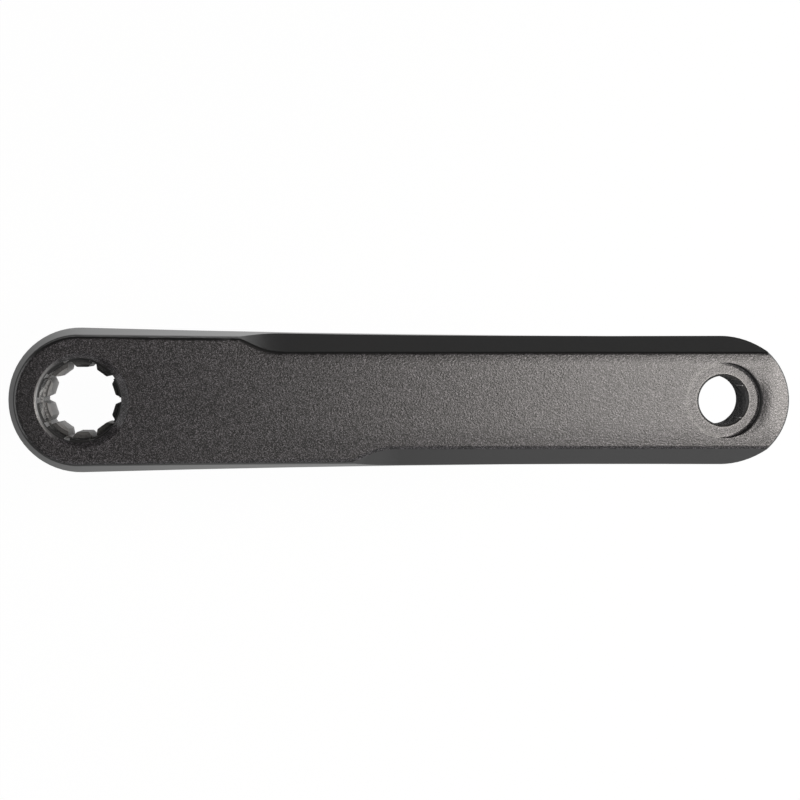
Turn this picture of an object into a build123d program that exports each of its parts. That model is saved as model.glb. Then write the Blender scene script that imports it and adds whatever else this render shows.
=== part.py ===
"""Forged crank arm for a splined bicycle spindle, one solid with its outer face upward.

The origin lies on the spindle axis at the inner seat, +X runs along the arm to the pedal axis,
and +Z points outward along the spindle. Sizes are in millimetres, angles in degrees.
"""
import math
import os

from build123d import *

# Length of the arm, and heights over the inner seat: at the spindle axis, then the rise to the pedal axis
crank_length = 170.0
boss_thickness = 27.0
face_rise = 11.3
parting_height = 21.5
parting_rise = 12.0
web_height = 9.5
web_rise = 15.0

# Round ends of the plan outline at the outer face, the parting line and the inner web
face_spindle_radius = 17.1
face_pedal_radius = 17.4
parting_spindle_radius = 19.3
parting_pedal_radius = 17.0
web_spindle_radius = 18.2
web_pedal_radius = 16.4
waist_radius = 6000.0

# Edge rounding, and the bevel round the pedal end
face_edge_round = 1.5
web_edge_round = 2.0
pedal_edge_bevel = 0.4

# Long flats on both sides of the outer face, each with an S-shaped run-out
flat_half_spacing = 12.5
flat_angle = 38.0
flat_run_out = 18.5
upper_flat_start = 35.8
lower_flat_start = 65.6

# Round boss on the inner side
boss_radius = 14.8
boss_root_round = 1.2
boss_edge_bevel = 0.8

# Splined socket for the spindle, widening slightly towards the seat
spline_count = 10
spline_apothem = 8.85
spline_length = 17.0
spline_taper = 0.4
groove_radius = 10.6
groove_mouth_width = 2.5
groove_floor_width = 1.0
tooth_corner_round = 0.5
tooth_end_bevel = 0.7
seat_lead_in = 1.5

# Bore of the extractor thread outside the socket, at the thread's nominal radius
extractor_radius = 11.0
extractor_mouth_bevel = 1.25
extractor_mouth_round = 0.8

# Pedal hole at the thread's nominal radius, and the pedal's round seat: a steep wall, then a shoulder
# and a long gentle brow that levels out into the sloping face
pedal_radius = 7.14
pedal_mouth_bevel = 0.2
pedal_back_bevel = 0.8
pedal_seat_radius = 9.9
pedal_seat_depth = 0.75
pedal_seat_corner = 0.3
pedal_seat_wall = 0.58
pedal_seat_angle = 75.0
pedal_shoulder_round = 0.5
pedal_brow_round = 19.0
pedal_brow_angle = 14.0
pedal_brow_end_angle = 2.5

# Length by which a cut runs past the metal
cut_margin = 5.0


def sloping_plane(height, rise):
    """Plane through the spindle axis at a height, climbing by a rise up to the pedal axis."""
    return Plane(origin=(0, 0, height), x_dir=(crank_length, 0, rise), z_dir=(-rise, 0, crank_length))


def outline(plane, spindle_radius, end_radius):
    """Two round ends joined by slightly hollow sides, drawn on a sloping plane."""
    reach = crank_length / plane.x_dir.X
    with BuildSketch(plane) as shape:
        with BuildLine():
            spindle_end = CenterArc((0, 0), spindle_radius, 0, 360, mode=Mode.PRIVATE)
            pedal_end = CenterArc((reach, 0), end_radius, 0, 360, mode=Mode.PRIVATE)
            sides = ConstrainedArcs(
                (spindle_end, Tangency.OUTSIDE),
                (pedal_end, Tangency.OUTSIDE),
                radius=waist_radius,
            )
            lower, upper = sides.edges().sort_by(Axis.Y)
            ThreePointArc(lower @ 1, (-spindle_radius, 0), upper @ 0)
            ThreePointArc(upper @ 1, (reach + end_radius, 0), lower @ 0)
        make_face()
    return shape.sketch


def flat_outline(start, side):
    """Region outside one long flat's inner edge, on the outer face, with its run-out at the start."""
    outer_edge = side * face_spindle_radius
    inner_edge = side * flat_half_spacing
    beyond = side * (parting_spindle_radius + cut_margin)
    far_end = crank_length + parting_pedal_radius + cut_margin
    middle = start + flat_run_out / 2
    with BuildSketch(face_plane) as shape:
        with BuildLine():
            run_out = Bezier(
                (start, outer_edge),
                (middle, outer_edge),
                (middle, inner_edge),
                (start + flat_run_out, inner_edge),
            )
            Polyline(run_out @ 1, (far_end, inner_edge), (far_end, beyond), (start, beyond), run_out @ 0)
        make_face()
    return shape.sketch


def taper_loss(height):
    """Radius that the tapering socket loses between the seat and a height."""
    return height * math.tan(math.radians(spline_taper))


def socket_profile(height):
    """Section of the socket at a height: flat-topped teeth with narrowing grooves between them."""
    apothem = spline_apothem - taper_loss(height)
    floor = groove_radius - taper_loss(height)
    with BuildSketch(Plane.XY.offset(height)) as shape:
        RegularPolygon(apothem, spline_count, major_radius=False)
        with PolarLocations(0, spline_count):
            Polygon(
                (0, groove_mouth_width / 2),
                (apothem, groove_mouth_width / 2),
                (floor, groove_floor_width / 2),
                (floor, -groove_floor_width / 2),
                (apothem, -groove_mouth_width / 2),
                (0, -groove_mouth_width / 2),
                align=None,
            )
        corners = shape.vertices().group_by(lambda corner: Vector(corner.X, corner.Y).length)
        fillet(corners[0], tooth_corner_round)
    return shape.sketch


def face_on(plane, builder):
    """Flat face on a plane, out of the faces of a builder's solid."""
    return builder.faces().filter_by(plane).sort_by_distance(plane.origin)[0]


face_plane = sloping_plane(boss_thickness, face_rise)
parting_plane = sloping_plane(parting_height, parting_rise)
web_plane = sloping_plane(web_height, web_rise)
pedal_axis = Axis((crank_length, 0, 0), (0, 0, 1))
pedal_plane = Plane(origin=(crank_length, 0, 0), x_dir=(1, 0, 0), z_dir=(0, -1, 0))
pedal_back = web_height + web_rise
pedal_seat = boss_thickness + face_rise - pedal_seat_depth
socket_top = boss_thickness + cut_margin

# Forged blank: walls that draw in on both sides of the parting line, and a rounded inner edge
with BuildPart() as blank:
    loft(
        [
            outline(web_plane, web_spindle_radius, web_pedal_radius),
            outline(parting_plane, parting_spindle_radius, parting_pedal_radius),
            outline(face_plane, face_spindle_radius, face_pedal_radius),
        ],
        ruled=True,
    )
    fillet(face_on(web_plane, blank).edges(), web_edge_round)

with BuildPart() as crank_arm:
    add(blank.part)

    # Long flats, each cut by sliding its region outward and down
    for flat_start, flat_side in ((upper_flat_start, 1), (lower_flat_start, -1)):
        slide = face_plane.y_dir * flat_side * math.cos(math.radians(flat_angle))
        slide -= face_plane.z_dir * math.sin(math.radians(flat_angle))
        extrude(flat_outline(flat_start, flat_side), amount=boss_thickness, dir=slide, mode=Mode.SUBTRACT)

    # Edges of the outer face: a small bevel at the pedal end, one rounding along the flats and the spindle end
    chamfer(face_on(face_plane, crank_arm).edges().sort_by(Axis.X)[-1], pedal_edge_bevel)
    fillet(face_on(face_plane, crank_arm).edges().sort_by(Axis.X)[:-1], face_edge_round)

    # Round boss that carries the inner seat
    with BuildSketch(Plane.XY):
        Circle(boss_radius)
    extrude(amount=parting_height)
    boss_root = crank_arm.edges(Select.LAST).filter_by(GeomType.ELLIPSE)
    fillet(boss_root, boss_root_round)
    chamfer(face_on(Plane.XY, crank_arm).edges(), boss_edge_bevel)

    # Splined socket, right through the boss
    loft([socket_profile(0), socket_profile(socket_top)], ruled=True, mode=Mode.SUBTRACT)

    # Lead-in at the seat, and the extractor bore with its mouth and the bevel on the teeth
    tooth_end_radius = spline_apothem - taper_loss(spline_length)
    with BuildSketch(Plane.XZ):
        with BuildLine():
            Polyline((0, 0), (spline_apothem + seat_lead_in, 0), (0, spline_apothem + seat_lead_in), close=True)
        make_face()
        with BuildLine():
            Polyline(
                (0, spline_length - tooth_end_radius - tooth_end_bevel),
                (tooth_end_radius + tooth_end_bevel, spline_length),
                (extractor_radius, spline_length),
                (extractor_radius, boss_thickness - extractor_mouth_bevel),
                (extractor_radius + extractor_mouth_bevel + cut_margin, socket_top),
                (0, socket_top),
                close=True,
            )
        make_face()
    revolve(axis=Axis.Z, mode=Mode.SUBTRACT)
    fillet(face_on(face_plane, crank_arm).inner_wires().edges(), extractor_mouth_round)

    # Pedal hole, bevelled at both ends, and the seat whose brow runs out into the sloping face
    with BuildSketch(pedal_plane):
        with BuildLine():
            seat_floor = Line((pedal_radius, pedal_seat), (pedal_seat_radius - pedal_seat_corner, pedal_seat))
            seat_corner = JernArc(seat_floor @ 1, (1, 0), pedal_seat_corner, pedal_seat_angle)
            seat_wall = PolarLine(seat_corner @ 1, pedal_seat_wall, direction=seat_corner % 1)
            shoulder_turn = pedal_brow_angle - pedal_seat_angle
            shoulder = JernArc(seat_wall @ 1, seat_wall % 1, pedal_shoulder_round, shoulder_turn)
            brow_turn = pedal_brow_end_angle - pedal_brow_angle
            brow = JernArc(shoulder @ 1, shoulder % 1, pedal_brow_round, brow_turn)
            rim = brow @ 1
            Polyline(rim, rim + (0, cut_margin), (0, rim.Y + cut_margin), (0, pedal_seat), seat_floor @ 0)
        make_face()
        with BuildLine():
            Polyline(
                (0, pedal_seat),
                (pedal_radius + pedal_mouth_bevel, pedal_seat),
                (pedal_radius, pedal_seat - pedal_mouth_bevel),
                (pedal_radius, pedal_back + pedal_back_bevel),
                (pedal_radius + pedal_back_bevel + cut_margin, pedal_back - cut_margin),
                (0, pedal_back - cut_margin),
                close=True,
            )
        make_face()
    revolve(axis=pedal_axis, mode=Mode.SUBTRACT)

crank_arm.part.label = "crank_arm"
os.makedirs("parts", exist_ok=True)
export_step(crank_arm.part, "parts/crank_arm.step")
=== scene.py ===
# %% [markdown]
# # A forged crank arm, photographed from above
# The arm is one forging of aluminium. It is blasted to a fine grain, coloured black, and seen here from its
# outer side: the splined hole for the spindle is on the left, the threaded pedal hole on the right.
# The shape comes from the packed CAD model. This file adds what the CAD leaves plain: the two threads, the
# finishes, the light and the camera. Every object is placed in metres in the CAD frame, where the origin
# lies on the spindle axis, +X runs to the pedal and +Z points at the viewer.

# %% Load the packed arm
import math

import bpy
import numpy as np
from mathutils import Euler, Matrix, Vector


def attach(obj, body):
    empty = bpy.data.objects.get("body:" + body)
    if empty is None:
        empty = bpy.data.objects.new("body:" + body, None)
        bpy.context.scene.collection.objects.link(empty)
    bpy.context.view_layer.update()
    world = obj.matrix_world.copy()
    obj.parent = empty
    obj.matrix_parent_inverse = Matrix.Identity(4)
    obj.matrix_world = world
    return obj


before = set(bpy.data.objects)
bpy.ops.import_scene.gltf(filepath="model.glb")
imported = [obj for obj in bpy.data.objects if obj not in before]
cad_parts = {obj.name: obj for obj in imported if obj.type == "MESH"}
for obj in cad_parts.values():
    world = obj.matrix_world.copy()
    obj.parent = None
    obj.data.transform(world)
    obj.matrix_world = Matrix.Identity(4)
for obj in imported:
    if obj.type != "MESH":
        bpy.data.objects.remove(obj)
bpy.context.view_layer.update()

MM = 0.001
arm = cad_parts["crank_arm"]

# %% [markdown]
# ## The camera
# The photograph looks down on the middle of the arm with a long lens. A camera could be set by eye, but the
# rims of both holes are clear in the picture, so its place, turn and focal length were fitted to them, and
# the render lines up with the photograph. The picture is 800 pixels wide, and the lens is written for
# Blender's usual 36 mm sensor.

# %% Camera
FOCAL_PIXELS = 1794.8
PICTURE_PIXELS = 800
SENSOR = 36.0
CLIP_START = 0.01
CAMERA_PLACE = (49.046 * MM, 13.908 * MM, 504.919 * MM)
CAMERA_TURN = (-1.666, -4.295, 0.0)
lens_data = bpy.data.cameras.new("camera")
lens_data.sensor_width = SENSOR
lens_data.lens = FOCAL_PIXELS * SENSOR / PICTURE_PIXELS
lens_data.clip_start = CLIP_START
camera = bpy.data.objects.new("camera", lens_data)
camera.location = CAMERA_PLACE
camera.rotation_euler = Euler([math.radians(angle) for angle in CAMERA_TURN])
bpy.context.scene.collection.objects.link(camera)
bpy.context.scene.camera = camera
print("lens", round(lens_data.lens, 2), "mm")

# %% [markdown]
# ## Shader maths as expressions
# A finish is a small calculation at every point of the surface: how far from a hole, how steep, how grainy.
# Wiring Math nodes by hand hides that calculation, so one class wraps a socket and turns Python operators
# into nodes. A second class wraps the node tree, and one method of it makes every other kind of node.

# %% Socket class
class Value:
    """One output socket. Operators on it add Math nodes and give the new output."""

    def __init__(self, nodes, socket):
        self.nodes = nodes
        self.socket = socket

    def math(self, operation, *others):
        """Math node with this value first and the other values or numbers after it."""
        sockets = dict(enumerate((self,) + others))
        return self.nodes.node("ShaderNodeMath", {"operation": operation}, sockets)

    def __add__(self, other):
        return self.math("ADD", other)

    def __mul__(self, other):
        return self.math("MULTIPLY", other)

    def __sub__(self, other):
        return self.math("SUBTRACT", other)

    def __rsub__(self, other):
        return self * -1.0 + other

    def __truediv__(self, other):
        return self.math("DIVIDE", other)

    def __pow__(self, other):
        return self.math("POWER", other)

    __radd__ = __add__
    __rmul__ = __mul__

    def most(self, other):
        """The larger of two values."""
        return self.math("MAXIMUM", other)

    def step(self, low, high):
        """Smooth step: 0 below low, 1 above high. With low above high it falls instead."""
        rising = low < high
        sockets = {
            "Value": self,
            "From Min": min(low, high),
            "From Max": max(low, high),
            "To Min": 0.0 if rising else 1.0,
            "To Max": 1.0 if rising else 0.0,
        }
        return self.nodes.node("ShaderNodeMapRange", {"interpolation_type": "SMOOTHSTEP"}, sockets, "Result")

    def between(self, start, full, fading, end):
        """Smooth band: rises from start to full, stays at 1, and falls from fading to end."""
        return self.step(start, full) * self.step(end, fading)


print("socket class:", Value.__doc__)

# %% Node tree class
class Nodes:
    """A node tree, with one method that makes any node in it."""

    def __init__(self, tree):
        self.tree = tree

    def plug(self, socket, value):
        """Link a Value into a socket, or set a plain number, vector or colour on it."""
        if isinstance(value, Value):
            self.tree.links.new(value.socket, socket)
        else:
            socket.default_value = value

    def node(self, kind, settings, sockets, out=0):
        """Node of a kind: settings first, then values or links on its sockets; gives one output."""
        made = self.tree.nodes.new(kind)
        for name, value in settings.items():
            setattr(made, name, value)
        for name, value in sockets.items():
            self.plug(made.inputs[name], value)
        return Value(self, made.outputs[out])

    def parts(self, vector):
        """The three components of a vector."""
        first = self.node("ShaderNodeSeparateXYZ", {}, {0: vector})
        return [Value(self, output) for output in first.socket.node.outputs]

    def vector(self, along_x, along_y, along_z):
        """Vector from three components."""
        return self.node("ShaderNodeCombineXYZ", {}, {"X": along_x, "Y": along_y, "Z": along_z})

    def blend(self, factor, first, second):
        """Colour that goes from the first to the second with a factor."""
        return self.node("ShaderNodeMix", {"data_type": "RGBA"}, {0: factor, 6: first, 7: second}, 2)

    def turn(self, factor, first, second):
        """Vector that goes from the first to the second with a factor."""
        return self.node("ShaderNodeMix", {"data_type": "VECTOR"}, {0: factor, 4: first, 5: second}, 1)


print("node tree class:", Nodes.__doc__)

# %% Finish class
class Finish(Nodes):
    """A material with a Principled shader."""

    def __init__(self, name):
        self.material = bpy.data.materials.new(name)
        self.material.use_nodes = True
        super().__init__(self.material.node_tree)
        self.tree.nodes.clear()
        self.shader = self.tree.nodes.new("ShaderNodeBsdfPrincipled")
        self.surface = self.tree.nodes.new("ShaderNodeOutputMaterial").inputs["Surface"]
        self.tree.links.new(self.shader.outputs[0], self.surface)

    def coordinates(self, kind):
        """Texture coordinates of a kind: Object is the place in metres, Normal the mesh's own direction."""
        return self.node("ShaderNodeTexCoord", {}, {}, kind)

    def noise(self, vector, scale, detail=0.0, roughness=0.5):
        """Noise from 0 to 1, with its scale in features per metre."""
        sockets = {"Vector": vector, "Scale": scale, "Detail": detail, "Roughness": roughness}
        return self.node("ShaderNodeTexNoise", {}, sockets, "Fac")

    def set(self, **sockets):
        """Values or links on the Principled shader, with underscores for the spaces in socket names."""
        for name, value in sockets.items():
            self.plug(self.shader.inputs[name.replace("_", " ")], value)


print("finish class:", Finish.__doc__)

# %% [markdown]
# ## Places on the arm
# The outer face is blasted before it is coloured, so it has a fine grain that breaks up the light. The long
# flats, the walls and the edges are smooth. A painted map could tell the two apart, but which is which
# follows from the shape: how far a point lies under the sloping face, how squarely it looks outward, and how
# far it is from each hole. So these values come first, in millimetres, and every mask is built from them.

# %% Places and directions
ARM_LENGTH = 170.0
FACE_HEIGHT = 27.0
FACE_RISE = 11.3
slope = math.hypot(ARM_LENGTH, FACE_RISE)
FACE_NORMAL = (-FACE_RISE / slope, 0.0, ARM_LENGTH / slope)

black = Finish("black_blasted")
place = black.coordinates("Object")
x, y, z = [part * (1 / MM) for part in black.parts(place)]
normal_x, normal_y, normal_z = black.parts(black.coordinates("Normal"))
facing = normal_x * FACE_NORMAL[0] + normal_z * FACE_NORMAL[2]
depth = FACE_HEIGHT + x * (FACE_RISE / ARM_LENGTH) - z
from_spindle = (x ** 2.0 + y ** 2.0) ** 0.5
spindle_out_x = x / from_spindle
from_pedal = ((x - ARM_LENGTH) ** 2.0 + y ** 2.0) ** 0.5
pedal_out_x = (x - ARM_LENGTH) / from_pedal
pedal_out_y = y / from_pedal
print("the face looks along", [round(part, 4) for part in FACE_NORMAL])

# %% [markdown]
# ## Where the arm is grainy
# The blasting reaches the face, the bevelled mouth of the spindle hole and the shallow sides of the pedal's
# round seat. Along the lower flat the grain runs a little way over the rounded edge, and along the upper
# flat it stops short of it. A range is two values: where a mask is nothing and where it is full. A ring is
# four radii round a hole: where a mask starts, is full, fades and ends. Lengths are millimetres, and
# directions are cosines.

# %% Grain on the face and round the spindle hole
FACE_DEPTH = (2.6, 2.0)
FACE_FACING = (0.86, 0.95)
LOW_EDGE_FACING = (0.795, 0.84)
LOW_EDGE_Y = (-8.0, -12.0)
HIGH_EDGE_FACING = (0.99, 0.96)
HIGH_EDGE_Y = (11.0, 12.2)
MOUTH_RING = (11.1, 11.4, 13.8, 14.5)
MOUTH_DEPTH = (3.0, 2.6)

near_face = depth.step(*FACE_DEPTH)
over_low_edge = facing.step(*LOW_EDGE_FACING) * y.step(*LOW_EDGE_Y)
short_of_high_edge = 1.0 - y.step(*HIGH_EDGE_Y) * facing.step(*HIGH_EDGE_FACING)
face = facing.step(*FACE_FACING).most(over_low_edge) * near_face * short_of_high_edge
mouth = from_spindle.between(*MOUTH_RING) * depth.step(*MOUTH_DEPTH)
print("grain down to", FACE_DEPTH[0], "mm under the face")

# %% Grain on the sides of the pedal seat
LOW_STEP_RING = (9.4, 9.5, 10.7, 11.0)
LOW_STEP_SIDE = (0.3, -0.2)
SHOULDER_DEPTH = (2.0, 1.0)
SHOULDER_FACING = (0.2, 0.5)
FAR_EDGE_RING = (9.95, 10.2, 14.0, 16.0)
FAR_EDGE_SIDE = (0.1, 0.7)
FAR_EDGE_Y = (12.4, 12.0)
NEAR_EDGE_RING = (10.0, 10.2, 10.7, 11.2)
NEAR_EDGE_SIDE = (-0.2, -0.8)
NEAR_EDGE_SHARE = 0.6

low_step = from_pedal.between(*LOW_STEP_RING) * pedal_out_x.step(*LOW_STEP_SIDE) * near_face
on_shoulder = depth.step(*SHOULDER_DEPTH) * facing.step(*SHOULDER_FACING)
far_edge = from_pedal.between(*FAR_EDGE_RING) * pedal_out_y.step(*FAR_EDGE_SIDE) * on_shoulder
far_edge = far_edge * y.step(*FAR_EDGE_Y)
near_edge = from_pedal.between(*NEAR_EDGE_RING) * pedal_out_y.step(*NEAR_EDGE_SIDE) * on_shoulder
near_edge = near_edge * NEAR_EDGE_SHARE
grainy = face.most(mouth).most(low_step).most(far_edge).most(near_edge)
print("grain masks:", len(black.tree.nodes), "nodes so far")

# %% [markdown]
# ## The grain itself
# Up close the blasted metal is a field of tiny dents, about half a millimetre apart, and each dent catches
# the light its own way. One noise gives the height of the dents for the bump. Much finer random cells give
# each spot its own shade, because the colour doesn't settle evenly on blasted metal. Both read the place on
# the arm, so the grain stays put from every side.

# %% Noise and cells
GRAIN_SCALE = 2150.0
CELL_SCALE = 6200.0
DENT_FACING = (0.88, 0.97)
grain = black.noise(place, GRAIN_SCALE)
cells = black.node("ShaderNodeTexVoronoi", {}, {"Vector": place, "Scale": CELL_SCALE}, "Color")
fine = black.parts(cells)[0]
dents = grain * grainy * facing.step(*DENT_FACING)
print("grain", round(1 / GRAIN_SCALE / MM, 2), "mm, cells", round(1 / CELL_SCALE / MM, 2), "mm")

# %% [markdown]
# ## The brow of the pedal seat
# Round the outer half of the pedal seat the face swells in a long, gentle brow. The CAD has its shape in
# flat triangles, which can show as stripes in the light. Its profile is an arc, so the direction of the
# surface follows from the distance to the pedal axis: the sine of the slope falls evenly with it, from 14
# degrees at the shoulder to 2.5 degrees where the brow runs out. Sideways the slope counts for less, because
# the photograph shows the light changing less that way.

# %% Direction of the brow
BROW_ROUND = 19.0
BROW_START_RADIUS = 10.42
BROW_START_HEIGHT = 38.688
BROW_START_SLOPE = math.radians(14.0)
BROW_END_SLOPE = math.radians(2.5)
BROW_RING = (10.2, 10.5, 13.6, 15.0)
BROW_SIDE = (0.0, 0.6)
BROW_DEPTH = (0.4, 0.0)
SIDEWAYS_SHARE = 0.4

brow_sine = (from_pedal - BROW_START_RADIUS) * (-1 / BROW_ROUND) + math.sin(BROW_START_SLOPE)
brow_sine = brow_sine.most(math.sin(BROW_END_SLOPE))
brow_cosine = (1.0 - brow_sine ** 2.0) ** 0.5
under_brow = (brow_cosine - math.cos(BROW_START_SLOPE)) * BROW_ROUND + BROW_START_HEIGHT - z
brow = under_brow.step(*BROW_DEPTH) * from_pedal.between(*BROW_RING) * pedal_out_x.step(*BROW_SIDE)
brow_slope = brow_sine / brow_cosine * -1.0
ahead = pedal_out_x * 0.5 + 0.5
brow_normal = black.vector(brow_slope * ahead, brow_slope * pedal_out_y * SIDEWAYS_SHARE, 1.0)
print("brow full from", BROW_RING[1], "to", BROW_RING[2], "mm")

# %% [markdown]
# ## Softer turns
# On the real arm a few edges turn more softly than in the solids. The mesh doesn't have to change for that:
# the shader's direction is turned towards that of the neighbouring surface. It happens on the shoulder of
# the pedal seat, on its low side, on part of the spindle hole's mouth, and where the long flats begin.

# %% Turns at the holes
RIM_FACING = (0.90, 0.985)
SOFT_RIM_SIDE = (-0.5, 0.1, 0.75, 0.95)
SOFT_RIM_TURN = 0.65
FAR_EDGE_TURN = 0.8
LOW_STEP_NORMAL = (-0.033, 0.0, 1.0)

rim = mouth * (1.0 - facing.step(*RIM_FACING))
soft_rim = rim * spindle_out_x.between(*SOFT_RIM_SIDE) * SOFT_RIM_TURN
to_face = (far_edge * FAR_EDGE_TURN).most(near_edge).most(soft_rim)
surface = black.node("ShaderNodeNewGeometry", {}, {}, "Normal")
surface = black.turn(brow, surface, brow_normal)
surface = black.turn(to_face, surface, FACE_NORMAL)
surface = black.turn(low_step, surface, LOW_STEP_NORMAL)
print("turns at the holes:", len(black.tree.nodes), "nodes so far")

# %% Turns at the beginning of the flats
FLAT_FACING = (0.70, 0.76, 0.82, 0.86)
UPPER_FLAT_NORMAL_Y = (0.40, 0.55)
LOWER_FLAT_NORMAL_Y = (-0.40, -0.55)
UPPER_START_X = (47.0, 41.0)
UPPER_TAIL_X = (56.0, 42.0)
LOWER_START_X = (79.0, 70.0)
START_TURN = 0.8
TAIL_TURN = 0.36
UPPER_WALL = (0.0, 0.93, 0.37)
LOWER_WALL = (0.0, -0.93, 0.37)

flat = facing.between(*FLAT_FACING)
upper_start = (x.step(*UPPER_START_X) * START_TURN).most(x.step(*UPPER_TAIL_X) * TAIL_TURN)
upper_start = flat * normal_y.step(*UPPER_FLAT_NORMAL_Y) * upper_start
lower_start = flat * normal_y.step(*LOWER_FLAT_NORMAL_Y) * x.step(*LOWER_START_X) * START_TURN
surface = black.turn(upper_start, surface, UPPER_WALL)
surface = black.turn(lower_start, surface, LOWER_WALL)
print("turns at the flats:", len(black.tree.nodes), "nodes so far")

# %% [markdown]
# ## Leans and relief
# The face leans a little over its long edges, as a slightly crowned face does, and at the foot of the seat's
# wall a small hollow corner leans towards the hole. Such a lean is added to the direction. The dents of the
# grain come last, as a bump with a relief of a few hundredths of a millimetre.

# %% Leaning direction and bump
CORNER_RING = (8.8, 9.7, 9.9, 10.2)
CORNER_HEIGHT = (37.62, 37.58)
CORNER_SIDE = (-0.2, 0.8)
CORNER_LEAN = -0.5
UPPER_CROWN_Y = (8.0, 12.3)
UPPER_CROWN_LEAN = 0.13
LOWER_CROWN_Y = (-5.0, -12.5)
LOWER_CROWN_LEAN = 0.045
CROWN_DEPTH = (0.3, 0.1)
CROWN_X = (35.0, 55.0)
RELIEF = 0.000031

corner = from_pedal.between(*CORNER_RING) * z.step(*CORNER_HEIGHT) * pedal_out_x.step(*CORNER_SIDE)
inward = corner * CORNER_LEAN
crown = y.step(*UPPER_CROWN_Y) * UPPER_CROWN_LEAN - y.step(*LOWER_CROWN_Y) * LOWER_CROWN_LEAN
crown = crown * face * depth.step(*CROWN_DEPTH) * x.step(*CROWN_X)
lean = black.vector(inward * pedal_out_x, inward * pedal_out_y + crown, 0.0)
leaning = black.node("ShaderNodeVectorMath", {"operation": "ADD"}, {0: surface, 1: lean}, "Vector")
leaning = black.node("ShaderNodeVectorMath", {"operation": "NORMALIZE"}, {0: leaning}, "Vector")
bump_sockets = {"Strength": 1.0, "Distance": RELIEF, "Height": dents, "Normal": leaning}
bump = black.node("ShaderNodeBump", {}, bump_sockets, "Normal")
print("relief", round(RELIEF / MM, 3), "mm")

# %% [markdown]
# ## Colours of the face
# The black is never quite black: on the grain, bright specks of the finish stand among dark ones. The pedal
# end is a little scuffed and lighter. To the left of the spindle hole the light specks are darker, which is
# painted shade for the dimmer light there. The smooth parts get one deep black, and their look comes from a
# clear skin.

# %% Face colours
SMOOTH_BLACK = (0.006, 0.0056, 0.0055, 1.0)
DARK_SPECK = (0.003, 0.0028, 0.0028, 1.0)
LIGHT_SPECK = (0.25, 0.231, 0.25, 1.0)
SCUFFED_DARK_SPECK = (0.045, 0.043, 0.043, 1.0)
SCUFFED_LIGHT_SPECK = (0.32, 0.30, 0.315, 1.0)
SHADED_LEFT_SPECK = (0.15, 0.139, 0.15, 1.0)
SCUFFED_X = (180.5, 185.0)
SHADED_LEFT_X = (-6.0, -14.0)
SPECK_CELLS = (0.55, 0.95)

scuffed = x.step(*SCUFFED_X)
light_speck = black.blend(scuffed, LIGHT_SPECK, SCUFFED_LIGHT_SPECK)
# Left of the spindle hole the light specks are darkened: painted shade
light_speck = black.blend(x.step(*SHADED_LEFT_X), light_speck, SHADED_LEFT_SPECK)
dark_speck = black.blend(scuffed, DARK_SPECK, SCUFFED_DARK_SPECK)
specks = black.blend(fine.step(*SPECK_CELLS), dark_speck, light_speck)
colour = black.blend(grainy, SMOOTH_BLACK, specks)
print("face colours from", DARK_SPECK[:3], "to", LIGHT_SPECK[:3])

# %% [markdown]
# ## Colours of the spindle hole
# Inside the hole the walls of the teeth and grooves that face the pedal look like bare metal, and so does
# the bevel of the mouth on that side. The metal is bare, but only the walls that face the lamps get the
# bright colour, which is painted light. Most of the other walls are black, which is painted shade. The
# direction of a wall and its place tell which of them are lit, so no tooth has to be painted by hand.

# %% Walls of the spindle hole
SOCKET_BLACK = (0.012, 0.0118, 0.0117, 1.0)
BARE_DARK = (0.25, 0.248, 0.247, 1.0)
BARE_LIGHT = (0.75, 0.746, 0.742, 1.0)
BARE_TOOTH = (0.62, 0.615, 0.61, 1.0)
BARE_MOTTLE = (0.35, 0.65)
SOCKET_RADIUS = (11.2, 11.0)
TOOTH_RADIUS = (9.8, 9.5)
GROOVE_RADIUS = (9.6, 10.2)
LEFT_SIDE = (-0.75, -0.95)
TO_PEDAL_NORMAL_X = (-0.1, 0.5)
TO_FAR_NORMAL_Y = (0.3, 0.8)
BELOW_MOUTH = (25.3, 25.2)
LEFT_GROOVE_SHARE = 0.8
FAR_WALL_SHARE = 0.6

socket = from_spindle.step(*SOCKET_RADIUS)
# Mottled bare metal for the walls that face the lamps: painted light
lit_bare_metal = black.blend(grain.step(*BARE_MOTTLE), BARE_DARK, BARE_LIGHT)
lit_bare_metal = black.blend(from_spindle.step(*TOOTH_RADIUS), lit_bare_metal, BARE_TOOTH)
left_grooves = spindle_out_x.step(*LEFT_SIDE) * from_spindle.step(*GROOVE_RADIUS) * LEFT_GROOVE_SHARE
far_walls = normal_y.step(*TO_FAR_NORMAL_Y) * FAR_WALL_SHARE
# Walls that face the lamps get the bright bare metal (painted light); the rest keep the socket black
# (painted shade)
lit_bare_walls = normal_x.step(*TO_PEDAL_NORMAL_X).most(left_grooves).most(far_walls) * z.step(*BELOW_MOUTH)
colour = black.blend(socket, colour, black.blend(lit_bare_walls, SOCKET_BLACK, lit_bare_metal))
print("walls of the spindle hole:", len(black.tree.nodes), "nodes so far")

# %% Mouth of the spindle hole
SHADED_RIM = (0.02, 0.0195, 0.0195, 1.0)
LIT_BARE_RIM = (0.46, 0.455, 0.45, 1.0)
SHADED_RIM_SIDE = (0.9, 0.4)
LIT_RIM_SIDE = (-0.4, -0.9)
SHADED_RIM_SHARE = 0.15

# The mouth's bevel is darkened on its right side as painted shade, and made bright bare metal on its left
# side, which faces the lamps, as painted highlight
shaded_rim = rim * spindle_out_x.step(*SHADED_RIM_SIDE) * SHADED_RIM_SHARE
lit_bare_rim = rim * spindle_out_x.step(*LIT_RIM_SIDE)
colour = black.blend(shaded_rim, colour, SHADED_RIM)
colour = black.blend(lit_bare_rim, colour, LIT_BARE_RIM)
print("mouth of the spindle hole:", len(black.tree.nodes), "nodes so far")

# %% [markdown]
# ## Colours of the pedal hole
# The pedal thread is black with a little grey towards its mouth, and two fine scratches run down its wall.
# The edges of the hole and of the seat's low side are worn to grey, as edges are. A scratch is the band of
# points close to one line, so the square of the distance to that line is all it takes.

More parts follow.
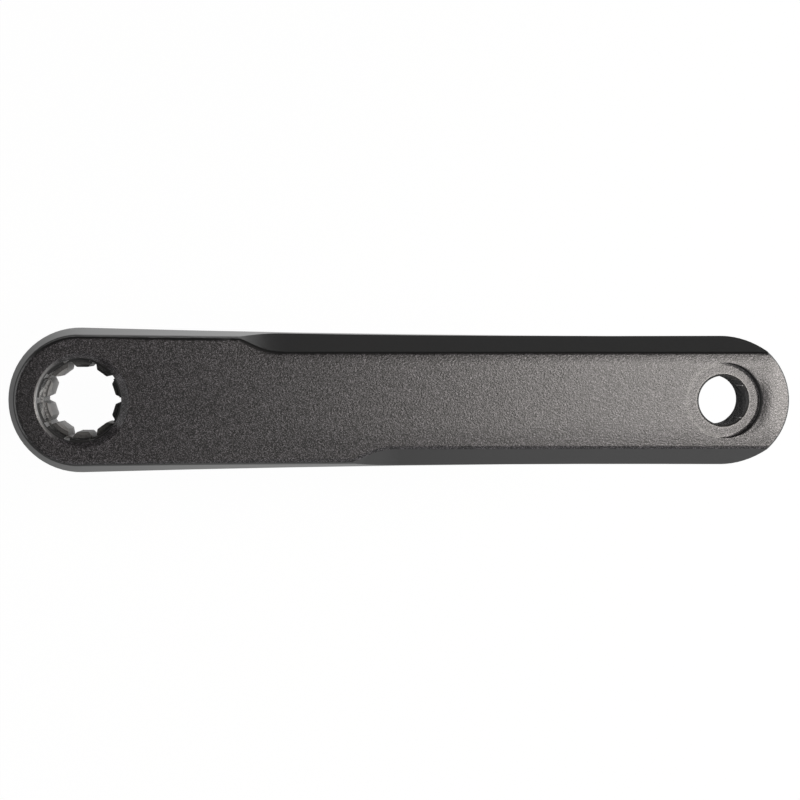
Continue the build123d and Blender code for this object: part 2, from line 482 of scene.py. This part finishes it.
# %% Wall of the pedal hole
BORE_BLACK = (0.006, 0.0057, 0.0056, 1.0)
BORE_GREY = (0.09, 0.087, 0.085, 1.0)
SCRATCH = (1.0, 0.99, 0.98, 1.0)
BORE_RADIUS = (7.4, 7.2)
BORE_GREY_HEIGHT = (26.0, 38.0)
SCRATCH_PLACES = (3.9, -4.6)
SCRATCH_SQUARES = (0.03, 0.004)
SCRATCH_X = (174.0, 175.0)
SCRATCH_HEIGHT = (30.0, 31.0)
SCRATCH_GRAIN = (0.35, 0.5)

bore = from_pedal.step(*BORE_RADIUS) * (1.0 - face)
bore_colour = black.blend(z.step(*BORE_GREY_HEIGHT) * fine, BORE_BLACK, BORE_GREY)
first, second = [((y - middle) ** 2.0).step(*SCRATCH_SQUARES) for middle in SCRATCH_PLACES]
scratches = first.most(second) * x.step(*SCRATCH_X) * z.step(*SCRATCH_HEIGHT) * grain.step(*SCRATCH_GRAIN)
bore_colour = black.blend(scratches, bore_colour, SCRATCH)
colour = black.blend(bore, colour, bore_colour)
print("wall of the pedal hole:", len(black.tree.nodes), "nodes so far")

# %% Worn edges
WORN_EDGE = (0.25, 0.245, 0.24, 1.0)
HOLE_EDGE_RING = (6.9, 7.0, 7.3, 7.5)
STEP_EDGE_RING = (9.3, 9.55, 9.8, 10.1)
HOLE_EDGE_SHARE = 0.6
STEP_EDGE_SHARE = 0.5

worn_hole = from_pedal.between(*HOLE_EDGE_RING) * face * HOLE_EDGE_SHARE
worn_step = from_pedal.between(*STEP_EDGE_RING) * low_step * STEP_EDGE_SHARE
colour = black.blend(worn_hole.most(worn_step), colour, WORN_EDGE)
print("worn edges:", len(black.tree.nodes), "nodes so far")

# %% [markdown]
# ## The finish as a whole
# The smooth parts have a clear skin over the black, which is the coat. The grain has none, is a little
# rougher and slightly metallic, because the specks are metal under a thin colour. The walls inside the holes
# and the steep wall of the seat are dull.

# %% Finish of the arm
SEAT_WALL_RING = (9.5, 9.7, 10.5, 10.8)
SMOOTH_ROUGHNESS = 0.28
GRAIN_ROUGHNESS = 0.055
SCUFFED_POLISH = 0.03
CELL_ROUGHNESS = 0.02
DULL_ROUGHNESS = 0.25
BLACK_IOR = 2.0
GRAIN_METAL = 0.2
RIM_METAL = 0.85

seat_wall = from_pedal.between(*SEAT_WALL_RING) * near_face * (1.0 - grainy)
dull = socket.most(bore).most(seat_wall)
roughness = grainy * (GRAIN_ROUGHNESS - scuffed * SCUFFED_POLISH) + SMOOTH_ROUGHNESS
black.set(
    Base_Color=colour,
    Roughness=roughness + fine * CELL_ROUGHNESS + dull * DULL_ROUGHNESS,
    IOR=BLACK_IOR,
    Metallic=(grainy * GRAIN_METAL).most(shaded_rim).most(lit_bare_rim * RIM_METAL),
    Coat_Weight=(1.0 - grainy) * (1.0 - dull),
    Coat_Roughness=SMOOTH_ROUGHNESS,
    Normal=bump,
)
arm.data.materials.clear()
arm.data.materials.append(black.material)
print("arm finish", black.material.name, "with", len(black.tree.nodes), "nodes")

# %% [markdown]
# ## The threads
# Both holes are threaded. A thread could be cut into the arm's mesh, but the CAD keeps plain bores at the
# nominal radius, so each thread is a thin sleeve that stands on the bore's wall instead: its inner side
# follows a helix, with the flat crests and narrow roots of a 60 degree thread. A sleeve is a function of
# angle and height, so whole arrays give all its points at once. The first helper closes two such grids into
# a shell.

# %% Closed shell between two grids
def shell_mesh(inner, outer, ring):
    """Closed mesh between two grids of points (angle, height, 3), joined along their borders.

    With ring, the last angle joins the first one; without it, both ends get a wall.
    """
    turns, rows = inner.shape[:2]
    shift = turns * rows
    index = np.arange(shift).reshape(turns, rows)
    if ring:
        index = np.vstack([index, index[:1]])
    far = index + shift
    low = index[:-1, :-1]
    next_low = index[1:, :-1]
    next_high = index[1:, 1:]
    high = index[:-1, 1:]
    quads = [
        np.stack([low, high, next_high, next_low], -1).reshape(-1, 4),
        np.stack([low, next_low, next_high, high], -1).reshape(-1, 4) + shift,
        np.stack([index[:-1, 0], index[1:, 0], far[1:, 0], far[:-1, 0]], -1),
        np.stack([index[:-1, -1], far[:-1, -1], far[1:, -1], index[1:, -1]], -1),
    ]
    if not ring:
        quads.append(np.stack([index[0, :-1], far[0, :-1], far[0, 1:], index[0, 1:]], -1))
        quads.append(np.stack([index[-1, :-1], index[-1, 1:], far[-1, 1:], far[-1, :-1]], -1))
    points = np.concatenate([inner.reshape(-1, 3), outer.reshape(-1, 3)])
    return points, np.concatenate(quads)


print("shell helper:", shell_mesh.__doc__.splitlines()[0])

# %% Two sides of a threaded sleeve
CREST = 1 / 8
ROOT = 7 / 16
THREAD_DEPTH = 0.49
ROOT_FILM = 0.03
WALL_GAP = 0.005


def thread_grid(angles, heights, wall, pitch, run_in, lip=0.0, edge=0.0, bevel=0.0):
    """Inner and outer side of a threaded sleeve, in millimetres round the z axis.

    The inner radius is the wall less a depth of 0.49 pitches times a trapezoid wave of (height / pitch -
    angle / one turn), which is 1 over a quarter of the pitch (crest) and 0 over an eighth of it (root).
    The wave fades in over a short run-in at both ends. With a lip, the top end instead keeps the crest's
    radius over the lip's height, bevels that edge for the thread's start, and fills the bore's own bevel.
    """
    angle, height = np.meshgrid(angles, heights, indexing="ij")
    phase = np.abs((height / pitch - angle / (2 * np.pi)) % 1.0 - 0.5)
    wave = np.clip((ROOT - phase) / (ROOT - CREST), 0.0, 1.0)
    below_top = heights[-1] - height
    if lip:
        wave = np.maximum(wave, np.clip(2.0 - below_top / lip, 0.0, 1.0))
        rise = np.clip((height - heights[0]) / run_in, 0.0, 1.0)
    else:
        rise = np.clip(np.minimum(height - heights[0], below_top) / run_in, 0.0, 1.0)
    thickness = ROOT_FILM + THREAD_DEPTH * pitch * wave * rise - np.clip(edge - below_top, 0.0, None)
    outer = wall - WALL_GAP + np.clip(bevel - below_top, 0.0, None)
    sides = []
    for radius in (wall - thickness, outer):
        sides.append(np.stack([radius * np.cos(angle), radius * np.sin(angle), height], -1))
    return sides


print("thread helper:", thread_grid.__doc__.splitlines()[0])

# %% Piece from shells
SHARP_ANGLE = math.radians(35)


def add_piece(name, shells, centre):
    """One object on the arm from a list of (points, quads) in millimetres, shifted by a centre."""
    starts = np.cumsum([0] + [len(points) for points, quads in shells[:-1]])
    points = np.concatenate([points for points, quads in shells]) + centre
    quads = np.concatenate([quads + start for (_, quads), start in zip(shells, starts)])
    mesh = bpy.data.meshes.new(name)
    mesh.from_pydata((points * MM).tolist(), [], quads.tolist())
    mesh.polygons.foreach_set("use_smooth", np.ones(len(quads), dtype=bool))
    mesh.set_sharp_from_angle(angle=SHARP_ANGLE)
    mesh.update()
    piece = bpy.data.objects.new(name, mesh)
    bpy.context.scene.collection.objects.link(piece)
    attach(piece, "root")
    print(name, len(quads), "quads")
    return piece


print("edges sharper than", round(math.degrees(SHARP_ANGLE)), "degrees stay crisp")

# %% [markdown]
# ## The pedal thread
# A pedal screws in with a thread of 9/16 inch and 20 turns to the inch. At its mouth the first turn starts
# behind a small bevelled lip, so the sleeve gets a few extra rows there. It takes the arm's own finish,
# because the real thread looks as black as the arm.

# %% Pedal thread
PEDAL_WALL = 7.14
PEDAL_PITCH = 25.4 / 20
PEDAL_FOOT = 25.4
PEDAL_SEAT = 37.54
PEDAL_ROWS = 110
PEDAL_SPOKES = 96
PEDAL_RUN_IN = 0.6
PEDAL_LIP = 0.75
PEDAL_EDGE = 0.55
PEDAL_BEVEL = 0.19
LIP_ROWS = (PEDAL_LIP, 0.65, PEDAL_EDGE, 0.37, PEDAL_BEVEL, 0.0)
LIP_GAP = 0.1

helix_rows = np.linspace(PEDAL_FOOT, PEDAL_SEAT - PEDAL_LIP - LIP_GAP, PEDAL_ROWS)
pedal_heights = np.concatenate([helix_rows, PEDAL_SEAT - np.array(LIP_ROWS)])
pedal_angles = np.linspace(0, 2 * np.pi, PEDAL_SPOKES + 1)[:-1]
pedal_lip = (PEDAL_LIP, PEDAL_EDGE, PEDAL_BEVEL)
pedal_sides = thread_grid(pedal_angles, pedal_heights, PEDAL_WALL, PEDAL_PITCH, PEDAL_RUN_IN, *pedal_lip)
pedal_shell = shell_mesh(*pedal_sides, ring=True)
pedal_thread = add_piece("pedal_thread", [pedal_shell], (ARM_LENGTH, 0.0, 0.0))
pedal_thread.data.materials.append(black.material)

# %% [markdown]
# ## The extractor thread
# Outside the teeth the spindle hole has a 22 mm thread with a pitch of 1 mm, for the tool that pulls the arm
# off. The broached grooves of the socket cut through it, which leaves ten separate stretches. One grid per
# stretch keeps the grooves open, where a full ring would bridge them.

# %% Extractor thread
EXTRACTOR_WALL = 11.0
EXTRACTOR_PITCH = 1.0
EXTRACTOR_FOOT = 17.02
EXTRACTOR_TOP = 25.3
EXTRACTOR_ROWS = 100
EXTRACTOR_RUN_IN = 0.1
STRETCH_SPOKES = 13
GROOVES = 10
GROOVE_HALF_ANGLE = math.radians(3.9)

extractor_heights = np.linspace(EXTRACTOR_FOOT, EXTRACTOR_TOP, EXTRACTOR_ROWS)
half_stretch = np.pi / GROOVES - GROOVE_HALF_ANGLE
stretches = []
for tooth in range(GROOVES):
    tooth_angle = (tooth + 0.5) * 2 * np.pi / GROOVES
    tooth_angles = np.linspace(tooth_angle - half_stretch, tooth_angle + half_stretch, STRETCH_SPOKES)
    sides = thread_grid(tooth_angles, extractor_heights, EXTRACTOR_WALL, EXTRACTOR_PITCH, EXTRACTOR_RUN_IN)
    stretches.append(shell_mesh(*sides, ring=False))
extractor_thread = add_piece("extractor_thread", stretches, (0.0, 0.0, 0.0))

# %% [markdown]
# ## The machined thread finish
# This thread is bare metal. It is coloured bright on the side that faces the pedal and the lamps, as the
# teeth below it are, which is painted light, and dark elsewhere, which is painted shade. A fine noise leaves
# darker marks on the bare metal, as cutting does. The direction of the surface tells the two sides apart.

# %% Thread finish
LIT_BARE_THREAD = (0.98, 0.975, 0.96, 1.0)
MARKED_THREAD = (0.35, 0.345, 0.34, 1.0)
SHADED_THREAD = (0.03, 0.03, 0.03, 1.0)
MARK_SCALE = 2200.0
MARK_DETAIL = 3.0
MARK_ROUGHNESS = 0.6
MARK_LEVELS = (0.30, 0.52)
LIT_NORMAL_X = (0.60, 0.82)
THREAD_ROUGHNESS = 0.42
THREAD_UNEVENNESS = 0.2
THREAD_METAL = 0.05

machined = Finish("machined_thread")
marks = machined.noise(machined.coordinates("Object"), MARK_SCALE, MARK_DETAIL, MARK_ROUGHNESS)
lit_bare_thread = machined.blend(marks.step(*MARK_LEVELS), MARKED_THREAD, LIT_BARE_THREAD)
thread_normal_x = machined.parts(machined.coordinates("Normal"))[0]
# Walls that face the pedal get the bright metal as painted light; all other walls get the dark colour as
# painted shade
thread_colour = machined.blend(thread_normal_x.step(*LIT_NORMAL_X), SHADED_THREAD, lit_bare_thread)
thread_roughness = marks * THREAD_UNEVENNESS + THREAD_ROUGHNESS
machined.set(Base_Color=thread_colour, Roughness=thread_roughness, Metallic=THREAD_METAL)
extractor_thread.data.materials.append(machined.material)
print("thread finish", machined.material.name, "with", len(machined.tree.nodes), "nodes")

# %% [markdown]
# ## The stage
# A wide white floor lies well below the arm, because the photograph is cut out on white. It is a plain
# diffuse white that also glows for the camera, which keeps it white and still lets it take the arm's soft
# shadow. Reflections see only its glow, which is painted weaker on the left and on the near side. That is a
# painted shadow of the arm and a painted fall of light, as on paper that is lit from the far right, and it
# sets the grey of the arm's walls.

# %% Floor
FLOOR_HEIGHT = -0.16
FLOOR_HALF = 4.0
floor_corners = np.array([(-1, -1, 0), (1, -1, 0), (1, 1, 0), (-1, 1, 0)], dtype=float) * FLOOR_HALF
floor_corners[:, 2] = FLOOR_HEIGHT
floor_mesh = bpy.data.meshes.new("floor")
floor_mesh.from_pydata(floor_corners.tolist(), [], [(0, 1, 2, 3)])
floor = bpy.data.objects.new("floor", floor_mesh)
bpy.context.scene.collection.objects.link(floor)
print("floor at", FLOOR_HEIGHT, "m")

# %% Floor finish
FLOOR_WHITE = (0.9, 0.9, 0.9, 1.0)
FLOOR_GLOW = 1.06
GLOW_SHARE = 0.9
LEFT_GLOW = 0.13
RIGHT_GLOW = 0.32
FAR_RIGHT_GLOW = 0.38
RIGHT_FLOOR_X = (-0.22, 0.02)
FAR_FLOOR_Y = (-0.08, 0.14)

paper = Finish("white_floor")
paper_x, paper_y = paper.parts(paper.coordinates("Object"))[:2]
# The glow that reflections see is weaker on the left and on the near side: a painted shadow of the arm and a
# painted fall of light
right_glow = paper_y.step(*FAR_FLOOR_Y) * FAR_RIGHT_GLOW + RIGHT_GLOW
reflected_glow_with_painted_shadow = paper_x.step(*RIGHT_FLOOR_X) * right_glow + LEFT_GLOW
camera_ray = paper.node("ShaderNodeLightPath", {}, {}, "Is Camera Ray")
glossy_ray = paper.node("ShaderNodeLightPath", {}, {}, "Is Glossy Ray")
through_ray = paper.node("ShaderNodeLightPath", {}, {}, "Is Transmission Ray")
seen = camera_ray.most(through_ray)
level = seen * FLOOR_GLOW + glossy_ray * reflected_glow_with_painted_shadow
diffuse = paper.node("ShaderNodeBsdfDiffuse", {}, {"Color": FLOOR_WHITE})
glow = paper.node("ShaderNodeEmission", {}, {"Color": level, "Strength": 1.0})
glow_share = seen * GLOW_SHARE + glossy_ray
paper.plug(paper.surface, paper.node("ShaderNodeMixShader", {}, {0: glow_share, 1: diffuse, 2: glow}))
floor_mesh.materials.append(paper.material)
print("floor finish", paper.material.name, "with", len(paper.tree.nodes), "nodes")

# %% [markdown]
# ## The light
# The face gets brighter from left to right, the upper flat is almost black and the lower one grey. That is
# one soft lamp high above and a little to the right, with weaker cards on all sides for the walls and edges;
# on the near side two more cards stand higher. In a reflection a card's brightness is what counts, so the
# helper takes that and works out the power from it.

# %% Lamp helper
ARM_MIDDLE = Vector((85 * MM, 0.0, 30 * MM))


def card(name, lamp_place, size, radiance, lamp_colour=(1.0, 1.0, 1.0)):
    """Rectangular area lamp that faces the arm and looks as bright as a radiance.

    Its power is the radiance times pi times the lamp's area.
    """
    data = bpy.data.lights.new(name, "AREA")
    data.shape = "RECTANGLE"
    data.size, data.size_y = size
    data.energy = radiance * math.pi * size[0] * size[1]
    data.color = lamp_colour
    lamp = bpy.data.objects.new(name, data)
    lamp.location = lamp_place
    lamp.rotation_euler = (ARM_MIDDLE - Vector(lamp_place)).to_track_quat("-Z", "Y").to_euler()
    bpy.context.scene.collection.objects.link(lamp)
    print(name, "gives", round(data.energy, 3), "W")


print("lamps face", [round(part, 3) for part in ARM_MIDDLE])

# %% Lamps
WARM_WHITE = (1.0, 0.955, 0.91)
card("key", (0.415, 0.071, 1.3), (0.35, 0.53), 8.5, WARM_WHITE)
card("right_card", (1.2, 0.0, 0.45), (1.2, 0.8), 2.0)
card("near_card", (0.65, -1.0, 0.22), (1.6, 0.4), 0.43)
card("near_high", (0.08, -0.9, 0.75), (1.6, 0.9), 0.33)
card("left_card", (-1.0, 0.0, 0.32), (1.2, 0.6), 0.8)
card("near_top", (0.12, -0.55, 1.0), (1.2, 0.6), 0.1)
card("far_card", (0.08, 1.0, 0.25), (1.6, 0.3), 0.14)

# %% [markdown]
# ## The room
# Beyond the floor the camera sees plain white, so that a low view has no dark sky. Everything else sees a
# dim room, because a white one would wash out the blacks.

# %% World
WORLD_WHITE = (1.0, 1.0, 1.0, 1.0)
ROOM_LEVEL = 0.03
world = bpy.data.worlds.new("room")
bpy.context.scene.world = world
world.use_nodes = True
room = Nodes(world.node_tree)
background = world.node_tree.nodes["Background"]
seen_by_camera = room.node("ShaderNodeLightPath", {}, {}, "Is Camera Ray")
room.plug(background.inputs["Color"], WORLD_WHITE)
room.plug(background.inputs["Strength"], seen_by_camera * (1.0 - ROOM_LEVEL) + ROOM_LEVEL)
bpy.context.scene.view_settings.view_transform = "Standard"
print("room level", ROOM_LEVEL)

# %% [markdown]
# ## Sizes
# The threads lie inside the bores, so the finished model keeps the CAD model's box. Both boxes are written
# down to be compared.
